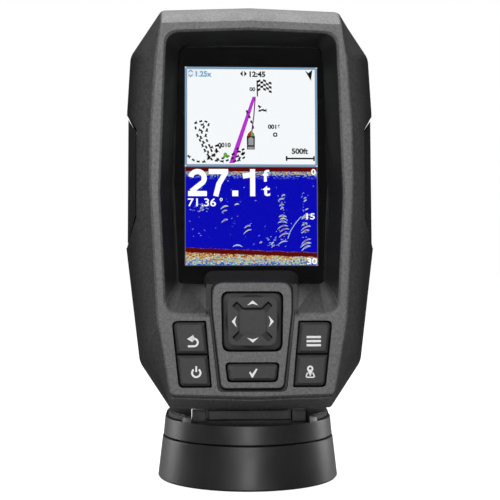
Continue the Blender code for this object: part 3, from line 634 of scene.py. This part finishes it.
def chart_marks(ink, depth):
    """Old tracks, goal flag, waypoint, scale bar, north mark and readouts."""
    y = depth[3]
    marks = bmesh.new()
    loops = [
        [(-18.3, 104.0), (-20.6, 104.8), (-20.8, 107.0), (-17.8, 107.8), (-15.6, 107.0), (-16.4, 104.6),
         (-17.0, 101.6), (-15.6, 98.6), (-14.2, 95.4), (-12.4, 93.2), (-8.4, 94.6), (-2.0, 97.6)],
        [(-20.2, 102.8), (-18.4, 99.2), (-16.8, 95.8), (-14.4, 93.0), (-10.0, 92.6), (-4.0, 95.0),
         (-1.4, 97.2)],
        [(-18.8, 106.2), (-17.2, 106.4), (-18.0, 104.6), (-18.8, 101.6), (-16.2, 97.0), (-15.4, 93.0)],
        [(-23.6, 94.8), (-20.8, 92.6), (-17.6, 92.4), (-14.8, 94.4), (-12.2, 96.8), (-10.8, 99.0)],
        [(-15.4, 97.6), (-12.6, 98.6), (-13.4, 95.4), (-16.6, 93.6)],
        [(-6.6, 92.4), (-4.4, 93.8), (-2.8, 95.6), (-5.6, 96.8), (-3.8, 98.6)],
        [(-5.2, 92.8), (-2.4, 94.2), (-3.0, 92.6)],
        [(-1.8, 111.8), (-0.6, 109.2), (0.4, 106.4), (0.9, 104.6)],
        [(2.6, 113.6), (4.4, 112.0), (2.6, 111.6), (6.6, 111.8)],
    ]
    for loop in loops:
        add_dashes(marks, loop, 1.25, 0.8, 0.66, y)
    add_stroke(marks, [(13.1, 93.8), (23.3, 93.8)], 0.6, y)
    for x in (13.1, 23.3):
        add_stroke(marks, [(x, 92.9), (x, 94.7)], 0.6, y)
    corners = arc((8.9, 102.7), 0.8, 45, 405, 4)
    for a, b in zip(corners, corners[1:]):
        add_stroke(marks, [a, b], 0.45, y)
    add_polygon(marks, [(20.1, 126.9), (21.4, 125.9), (22.9, 127.2), (22.3, 123.0)], y)
    for side in (-1, 1):
        tip, foot = -2.85 + side * 1.25, -2.85 + side * 0.3
        add_polygon(marks, [(tip, 125.5), (foot, 126.6), (foot, 124.4)], y)
    for cell in flag_cells():
        add_polygon(marks, cell, y)
    for body, size, at, bold in (
        ("500ft", 2.75, (15.0, 95.6), 0.10), ("0016", 2.2, (6.2, 104.9), 0.09),
        ("0010", 2.2, (-12.3, 98.0), 0.09), ("12:45", 2.75, (-0.6, 124.4), 0.11),
        ("00", 2.0, (-0.6, 119.0), 0.07),
    ):
        merge(marks, text_mesh(body, size, at, y, bold, 1.05))
    show("chart_marks", marks, ink["black"])

    zoom = bmesh.new()
    merge(zoom, text_mesh("1.25x", 2.75, (-20.6, 124.4), y, 0.12))
    for side in (-1, 1):
        foot, tip = 125.5 + side * 0.45, 125.5 + side * 1.2
        add_stroke(zoom, [(-23.3, foot), (-22.5, tip), (-21.7, foot)], 0.42, y)
    show("zoom_mark", zoom, ink["sky_blue"])


def flag_cells():
    """The dark cells of a waving chequered flag, and its pole."""
    cells = [[(2.1, 117.0), (2.55, 117.0), (2.45, 123.0), (2.0, 123.0)]]
    for i in range(5):
        for j in range(5):
            if (i + j) % 2:
                continue
            x, z = 2.4 + 1.05 * i, 118.9 + 0.8 * j
            wave = [0.6 * math.sin(0.95 * (i + k)) for k in (0, 1)]
            cells.append([
                (x, z + wave[0]), (x + 1.05, z + wave[1]),
                (x + 1.0, z + 0.85 + wave[1]), (x - 0.05, z + 0.85 + wave[0]),
            ])
    return cells


def boat(ink, depth):
    """A small launch seen from above, red to port and green to starboard at the bow."""
    hull = bmesh.new()
    add_polygon(hull, [
        (-1.6, 97.1), (1.25, 97.1), (1.35, 101.8), (0.9, 103.2), (-0.1, 104.1), (-1.1, 103.2),
        (-1.7, 101.8),
    ], depth[4])
    show("boat_hull", hull, ink["dark_grey"])
    deck = bmesh.new()
    add_polygon(deck, [(-1.1, 98.7), (0.8, 98.7), (0.8, 101.2), (-0.1, 101.8), (-1.1, 101.2)], depth[5])
    add_polygon(deck, [(-1.3, 97.3), (0.95, 97.3), (0.95, 98.1), (-1.3, 98.1)], depth[5])
    show("boat_deck", deck, ink["pale_grey"])
    for name, side, tone in (("boat_port_bow", -1, "red"), ("boat_starboard_bow", 1, "green")):
        bow = bmesh.new()
        corners = [(-0.1, 102.1), (-0.1, 103.9), (-0.1 + side * 0.85, 103.1), (-0.1 + side * 1.3, 102.1)]
        add_polygon(bow, corners, depth[5])
        show(name, bow, ink[tone])


def echo_dash(bm, centre, length, width, tilt, y):
    """A short tapered arc, the echo of one fish."""
    top, bottom = [], []
    for k in range(9):
        t = k / 8 * 2 - 1
        x, z = t * length / 2, -0.18 * length * t * t + math.tan(tilt) * t * length / 2
        half = width / 2 * math.sqrt(max(1 - t * t, 0.02))
        top.append((centre[0] + x, centre[1] + z + half))
        bottom.append((centre[0] + x, centre[1] + z - half))
    add_polygon(bm, top + bottom[::-1], y)


def echoes(ink, depth):
    """Columns of fish echoes: a pale halo, a warm body and a dark red core, and scattered specks."""
    rng = random.Random(11)
    layers = {tone: bmesh.new() for tone in ("pale", "yellow", "orange", "red")}
    columns = [
        (-10.0, [75.9, 74.3, 70.9], 2.6, 0.40), (-5.1, [76.7], 1.8, 0.2), (-5.3, [61.6], 3.6, 0.0),
        (-1.8, [68.6, 67.0], 2.7, 0.45), (11.4, [80.2, 78.8, 76.6, 75.2], 1.9, 0.35),
        (11.6, [72.4, 71.4, 70.4], 2.9, 0.0), (11.8, [68.6, 67.4, 65.8, 62.9], 3.6, 0.35),
        (20.2, [79.2, 78.2, 75.0], 1.3, 0.5), (20.2, [72.8, 71.8], 3.4, 0.3),
        (20.0, [69.6, 68.2, 67.0], 3.2, 0.4), (20.0, [63.4, 62.2, 61.0], 3.8, 0.45),
        (7.6, [62.4, 61.4], 1.6, 0.7), (3.4, [62.6], 1.0, 0.3), (-18.4, [75.6, 74.8], 1.8, 0.5),
    ]
    for x, heights, length, tilt in columns:
        for z in heights:
            at = (x + rng.uniform(-0.4, 0.4), z + rng.uniform(-0.15, 0.15))
            span = length * rng.uniform(0.7, 1.2)
            lean = tilt * rng.uniform(0.7, 1.2)
            echo_dash(layers["pale"], at, span, rng.uniform(0.45, 0.72), lean, depth[1])
            if rng.random() < 0.75:
                tone = rng.choice(("yellow", "orange", "orange"))
                echo_dash(layers[tone], at, span * 0.66, 0.34, lean, depth[2])
            if rng.random() < 0.45:
                echo_dash(layers["red"], at, span * 0.45, 0.26, lean, depth[3])
    for x, low, high, spread, count in (
        (0.0, 61.0, 86.0, 23.0, 34), (7.4, 61.0, 65.0, 2.2, 20), (20.0, 60.5, 82.0, 1.6, 26),
        (11.4, 61.0, 81.0, 1.8, 20), (-18.5, 74.0, 77.0, 3.0, 16),
    ):
        for _ in range(count):
            at = (x + rng.uniform(-spread, spread), rng.uniform(low, high))
            size = rng.uniform(0.25, 0.75)
            echo_dash(layers["pale"], at, size, 0.2, rng.uniform(-0.6, 0.8), depth[1])
    add_stroke(layers["pale"], [(13.4, 64.0), (14.4, 66.8), (16.2, 69.6), (18.4, 72.2)], 0.26, depth[1])
    for tone, bm in layers.items():
        show(f"echoes_{tone}", bm, ink[f"echo_{tone}"])


def big_two(left, width):
    """Strokes of a bold figure two."""
    radius = (width - FIGURE_STROKE) / 2
    centre = (left + width / 2, FIGURE_FOOT + FIGURE_HEIGHT - FIGURE_STROKE / 2 - radius)
    bowl = arc(centre, radius, 170, -38, 16)
    tail = [(left + FIGURE_STROKE * 0.62, FIGURE_FOOT + FIGURE_STROKE * 0.9)]
    low = FIGURE_FOOT + FIGURE_STROKE / 2
    return [bowl + tail, [(left, low), (left + width, low)]]


def big_seven(left, width):
    """Strokes of a bold figure seven."""
    top = FIGURE_FOOT + FIGURE_HEIGHT - FIGURE_STROKE / 2
    stem = [
        (left + width - FIGURE_STROKE * 0.55, top - FIGURE_STROKE * 0.3),
        (left + width * 0.52, FIGURE_FOOT + FIGURE_HEIGHT * 0.45),
        (left + width * 0.36, FIGURE_FOOT),
    ]
    return [[(left, top), (left + width, top)], stem]


def big_one(left, width):
    """Strokes of a bold figure one."""
    stem = left + width - FIGURE_STROKE / 2
    flag = [
        (left, FIGURE_FOOT + FIGURE_HEIGHT * 0.74),
        (stem, FIGURE_FOOT + FIGURE_HEIGHT * 0.80),
    ]
    return [[(stem, FIGURE_FOOT), (stem, FIGURE_FOOT + FIGURE_HEIGHT)], flag]


def readings(ink, depth):
    """White depth and temperature figures, their units and the depth scale."""
    white = bmesh.new()
    y = depth[5]
    for strokes in (big_two(-23.4, 6.9), big_seven(-15.8, 7.2), big_one(-3.2, 4.6)):
        for k, stroke in enumerate(strokes):
            add_stroke(white, stroke, FIGURE_STROKE, y - HAIR * k)
    low, high = FIGURE_FOOT, FIGURE_FOOT + 2.1
    add_polygon(white, [(-7.1, low), (-4.9, low), (-4.9, high), (-7.1, high)], y)
    for body, size, at, bold, squeeze in (
        ("f", 5.9, (4.2, 85.3), 0.17, 1.2), ("t", 5.9, (4.2, 80.0), 0.17, 1.2),
        ("71", 4.1, (-23.5, 76.0), 0.05, 1.15), ("36", 4.1, (-17.5, 76.0), 0.05, 1.15),
        ("0", 2.9, (22.2, 87.8), 0.07, 1.2), ("15", 3.1, (20.3, 71.2), 0.07, 1.3),
        ("30", 3.1, (20.4, 54.6), 0.07, 1.3),
    ):
        merge(white, text_mesh(body, size, at, y, bold, squeeze))
    add_polygon(white, [(-18.4, 76.0), (-17.9, 76.0), (-17.9, 76.5), (-18.4, 76.5)], y)
    add_stroke(white, arc((-11.2, 78.5), 0.42, 0, 360, 14), 0.25, y)
    show("readings", white, ink["white"])


def window_mask(material):
    """The black print behind the glass, open over the picture."""
    outline = []
    corners = ((PRINT_TOP, 1), (PRINT_TOP, -1), (PRINT_BOTTOM, -1), (PRINT_BOTTOM, 1))
    for k, ((x, z), side) in enumerate(corners):
        outline += arc((side * x, z), PRINT_CORNER_R, 90 * k, 90 * k + 90, 5)
        if k % 2:
            outline.append((side * PRINT_WIDEST[0], PRINT_WIDEST[1]))
    half, low, high = PANE_X + PRINT_GAP, PANE_BOTTOM - PRINT_GAP, PANE_TOP + PRINT_GAP
    hole = [(-half, low), (half, low), (half, high), (-half, high)]
    bm = bmesh.new()
    edges = []
    for points in (outline, [(x + PANE_MIDDLE, z) for x, z in hole]):
        ring = [bm.verts.new((x, PRINT_Y, z)) for x, z in points]
        edges += [bm.edges.new((a, b)) for a, b in zip(ring, ring[1:] + ring[:1])]
    bmesh.ops.triangle_fill(bm, edges=edges, use_beauty=True, normal=(0, -1, 0))
    place_mesh("window_print", bm, material, "head")


# ---------------------------------------------------------------- key legends

def legends(material):
    y = KEY_TOP_Y - PRINT_LIFT
    back = bmesh.new()
    hook = [(-21.8, 27.3), (-21.0, 27.3)] + arc((-21.0, 25.95), 1.35, 90, -90, 12) + [(-23.2, 24.6)]
    add_stroke(back, hook, 0.72, y)
    add_polygon(back, [(-23.5, 27.2), (-21.2, 28.7), (-21.5, 26.0)], y)
    place_mesh("legend_back", back, material, "back_button")

    power = bmesh.new()
    add_stroke(power, arc((-20.2, 15.1), 1.5, 128, 412, 30), 0.7, y)
    add_stroke(power, [(-20.2, 15.4), (-20.2, 17.5)], 0.66, y)
    place_mesh("legend_power", power, material, "power_button")

    menu = bmesh.new()
    for k in (-1, 0, 1):
        z = 26.3 + 1.47 * k
        add_stroke(menu, [(19.5, z), (24.7, z)], 0.8, y)
    place_mesh("legend_menu", menu, material, "menu_button")
    place_mesh("legend_mark", drop_pin((20.75, 16.4), y), material, "mark_button")

    tick = bmesh.new()
    add_polygon(tick, [
        (-1.25, 15.1), (-0.75, 15.5), (-0.25, 14.55), (1.25, 16.5), (1.8, 16.3), (0.1, 13.3),
        (-0.3, 13.3),
    ], y)
    place_mesh("legend_select", tick, material, "select_button")

    arrows = bmesh.new()
    y = PAD_TOP_Y - PRINT_LIFT
    centre = Vector(PAD_MIDDLE)
    for turn in range(4):
        angle = math.radians(90 * turn)
        out = Vector((math.sin(angle), math.cos(angle)))
        side = Vector((out.y, -out.x))
        tip, foot = centre + out * 7.6, centre + out * 5.8
        add_polygon(arrows, [tip, foot + side * 2.05, foot + out * 0.6, foot - side * 2.05], y)
    place_mesh("legend_arrows", arrows, material, "pad")


def drop_pin(head, y):
    """A map pin with a round hole, standing in an open ring."""
    x, z = head
    bm = bmesh.new()
    outer = arc(head, 1.15, 215, -35, 20)
    inner = arc(head, 0.48, 215, -35, 20)
    for k in range(20):
        add_polygon(bm, [outer[k], outer[k + 1], inner[k + 1], inner[k]], y)
    point = [(x + 0.12, z - 2.6), (x - 0.12, z - 2.6)]
    add_polygon(bm, [outer[0], inner[0], inner[-1], outer[-1], *point], y)
    left = [(x - 0.75, z - 1.55), (x - 1.1, z - 1.65), (x - 1.5, z - 2.75), (x - 1.2, z - 3.05)]
    right = [(2 * x - across, up) for across, up in reversed(left)]
    add_stroke(bm, left + right, 0.46, y - HAIR)
    return bm


# ---------------------------------------------------------------- dress the solids

def refine(name):
    """A smooth-shaded copy of a solid, shown in its place."""
    source = frame["nodes"][name]
    bm = bmesh.new()
    bm.from_mesh(source.data)
    bmesh.ops.remove_doubles(bm, verts=bm.verts, dist=0.002 * MM)
    bmesh.ops.dissolve_limit(bm, angle_limit=math.radians(0.8), verts=bm.verts, edges=bm.edges)
    mesh = bpy.data.meshes.new(f"fine_{name}")
    bm.to_mesh(mesh)
    bm.free()
    mesh.shade_smooth()
    mesh.set_sharp_from_angle(angle=math.radians(30))
    for slot in source.material_slots:
        mesh.materials.append(slot.material)
    obj = bpy.data.objects.new(f"fine_{name}", mesh)
    bpy.context.scene.collection.objects.link(obj)
    if name in TURNED:
        round_normals(mesh)
    else:
        even = obj.modifiers.new("even_normals", "WEIGHTED_NORMAL")
        even.keep_sharp = True
    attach(obj, source["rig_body"])
    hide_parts(name)


def round_normals(mesh):
    """Shades the walls of a shape turned about Z as truly round."""
    normals = [corner.vector.copy() for corner in mesh.corner_normals]
    for face in mesh.polygons:
        radial = Vector((face.center.x, face.center.y, 0)).normalized()
        facing = face.normal.dot(radial)
        if abs(facing) < 0.93 or abs(face.normal.z) > 0.35:
            continue
        flat = math.copysign(math.sqrt(1 - face.normal.z ** 2), facing)
        for index in face.loop_indices:
            at = mesh.vertices[mesh.loops[index].vertex_index].co
            outward = Vector((at.x, at.y, 0)).normalized()
            normals[index] = outward * flat + Vector((0, 0, face.normal.z))
    mesh.normals_split_custom_set(normals)


def dress(looks):
    """Gives each solid the look with its name, or else its material slot's."""
    slots = {entry["node"]: entry["material_slot"] for entry in frame["record"]["subparts"]}
    for name, obj in frame["nodes"].items():
        look = looks.get(name) or looks[slots[name]]
        for k in range(len(obj.material_slots)):
            obj.material_slots[k].material = look


def solid_looks():
    """A material for each slot, and for the solids that have one of their own."""
    rubber = {"grain": 0.16, "size": 0.3, "rough": 0.6, "relief": 0.012}
    return {
        "case_grey": moulded(
            "case_grey", 0.125, True, grain=0.34, rough=0.55, relief=0.04, shade=case_painted_shade,
        ),
        "case_black": moulded("case_black", 0.022, True, grain=0.22, rough=0.55, relief=0.03),
        "mount_black": moulded(
            "mount_black", 0.010, False, grain=0.2, size=0.3, rough=0.36, relief=0.01,
        ),
        "cradle_frame": moulded("cradle_black", 0.06, True, grain=0.25, size=0.35, relief=0.03),
        "grip_rubber": moulded(
            "grip_rubber", 0.010, True, grain=0.12, size=0.5, rough=0.6, relief=0.01,
        ),
        "key_rubber": moulded("key_rubber", 0.042, True, shade=key_painted_shade, **rubber),
        "direction_pad": moulded("direction_pad", 0.042, True, shade=pad_painted_shade, **rubber),
        "window_glass": window_material("window_glass"),
        "display": moulded("display_glass", 0.02, True, grain=0.1, rough=0.2, relief=0.002),
        "white_plastic": moulded("white_plastic", 0.75, True, grain=0.04, rough=0.4, relief=0.005),
        "circuit_green": circuit_board("circuit_green"),
        "seal_rubber": moulded("seal_rubber", 0.03, True, grain=0.15, rough=0.75, relief=0.01),
        "steel": metal("steel", (0.62, 0.62, 0.61)),
        "brass": metal("brass", (0.78, 0.6, 0.28), brushed=False),
        "ceramic": moulded("ceramic", 0.55, True, (1.0, 0.94, 0.8), 0.08, rough=0.6, relief=0.01),
        "nylon": moulded("nylon", 0.7, False, (1.0, 0.98, 0.94), 0.05, rough=0.45, relief=0.006),
    }


def display_inks():
    """A material for each tone of the display."""
    return {
        "chart": map_picture("chart_picture"),
        "sonar": sonar_picture("sonar_picture"),
        "pale_blue": lit("ink_pale_blue", (0.24, 0.38, 0.52)),
        "mid_grey": lit("ink_mid_grey", (0.11, 0.11, 0.20)),
        "plum": lit("ink_plum", (0.12, 0.02, 0.14)),
        "sky_blue": lit("ink_sky_blue", (0.16, 0.42, 0.70)),
        "magenta": lit("ink_magenta", (0.52, 0.035, 0.66)),
        "black": lit("ink_black", (0.004, 0.004, 0.006)),
        "dark_grey": lit("ink_dark_grey", (0.02, 0.02, 0.025)),
        "pale_grey": lit("ink_pale_grey", (0.35, 0.36, 0.38)),
        "red": lit("ink_red", (0.45, 0.02, 0.01)),
        "green": lit("ink_green", (0.15, 0.42, 0.06)),
        "white": lit("ink_white", (1.0, 1.0, 1.0), 1.15),
        "echo_pale": lit("echo_pale", (0.46, 0.60, 0.78)),
        "echo_yellow": lit("echo_yellow", (0.72, 0.66, 0.22)),
        "echo_orange": lit("echo_orange", (0.62, 0.30, 0.14)),
        "echo_red": lit("echo_red", (0.24, 0.01, 0.01)),
    }


# ---------------------------------------------------------------- stage

def area_light(name, at, target, size, power):
    light = bpy.data.lights.new(name, "AREA")
    light.shape = "RECTANGLE"
    light.size, light.size_y = size
    light.energy = power
    obj = bpy.data.objects.new(name, light)
    bpy.context.scene.collection.objects.link(obj)
    obj.location = at
    obj.rotation_euler = (Vector(target) - Vector(at)).to_track_quat("-Z", "Y").to_euler()
    return obj


def floor():
    bm = bmesh.new()
    bmesh.ops.create_circle(bm, cap_ends=True, segments=96, radius=6.0)
    mesh = bpy.data.meshes.new("floor")
    bm.to_mesh(mesh)
    bm.free()
    g = Graph("floor_paper")
    place = g.coordinates(False)
    paper = g.noise(place, 0.8, 3.0)
    g.set(Base_Color=g.mix(paper, grey(0.30), grey(0.34)), Roughness=0.9, Specular_IOR_Level=0.0)
    g.feed(g.shader.inputs["Emission Color"], grey(1.0))
    seen = g.node("ShaderNodeLightPath").outputs["Is Camera Ray"]
    g.feed(g.shader.inputs["Emission Strength"], seen)
    mesh.materials.append(g.material)
    obj = bpy.data.objects.new("floor", mesh)
    bpy.context.scene.collection.objects.link(obj)
    obj.location.z = -0.0006


def world():
    made = bpy.data.worlds.new("studio")
    bpy.context.scene.world = made
    made.use_nodes = True
    nodes, links = made.node_tree.nodes, made.node_tree.links
    ray = nodes.new("ShaderNodeLightPath")
    dim, seen = nodes["Background"], nodes.new("ShaderNodeBackground")
    dim.inputs[0].default_value = grey(1.0)
    dim.inputs[1].default_value = 0.06
    seen.inputs[0].default_value = grey(1.0)
    seen.inputs[1].default_value = 1.0
    blend = nodes.new("ShaderNodeMixShader")
    links.new(ray.outputs["Is Camera Ray"], blend.inputs[0])
    links.new(dim.outputs[0], blend.inputs[1])
    links.new(seen.outputs[0], blend.inputs[2])
    links.new(blend.outputs[0], nodes["World Output"].inputs[0])


def camera():
    data = bpy.data.cameras.new("camera")
    data.lens = LENS_MM
    data.sensor_width = 36.0
    data.shift_x, data.shift_y = SHIFT
    data.clip_start = 0.01
    obj = bpy.data.objects.new("camera", data)
    bpy.context.scene.collection.objects.link(obj)
    obj.location = CAMERA_AT
    obj.rotation_euler = (math.radians(90), 0, CAMERA_YAW)
    bpy.context.scene.camera = obj


def lights():
    """Two lights on everything, and three that reach only the mount."""
    aim = (0, -0.02, 0.10)
    area_light("front_top", (-0.12, -0.95, 0.64), aim, (0.4, 0.3), 9.6)
    area_light("overhead", (0.0, 0.25, 0.8), aim, (0.8, 0.4), 6.0)
    mount = bpy.data.collections.new("mount_pieces")
    for obj in bpy.context.scene.objects:
        if obj.name.removeprefix("fine_") in MOUNT_PIECES:
            mount.objects.link(obj)
    for name, at, size, power in (
        ("rim_left", (-0.62, 0.30, 0.14), (0.20, 0.5), 3.4),
        ("rim_right", (0.62, 0.30, 0.14), (0.20, 0.5), 3.4),
        ("low_front", (-0.03, -1.10, 0.12), (0.12, 0.36), 3.0),
    ):
        light = area_light(name, at, (0, 0, 0.03), size, power)
        light.light_linking.receiver_collection = mount


def main():
    bpy.context.scene.view_settings.view_transform = "Standard"
    camera()
    world()
    floor()
    dress(solid_looks())
    for name in REFINED:
        refine(name)
    ink = display_inks()
    display(ink)
    window_mask(printed("window_print", (0.004, 0.004, 0.0045), 0.9, 0.0))
    legends(printed("legend_white", (0.92, 0.92, 0.92)))
    lights()


main()
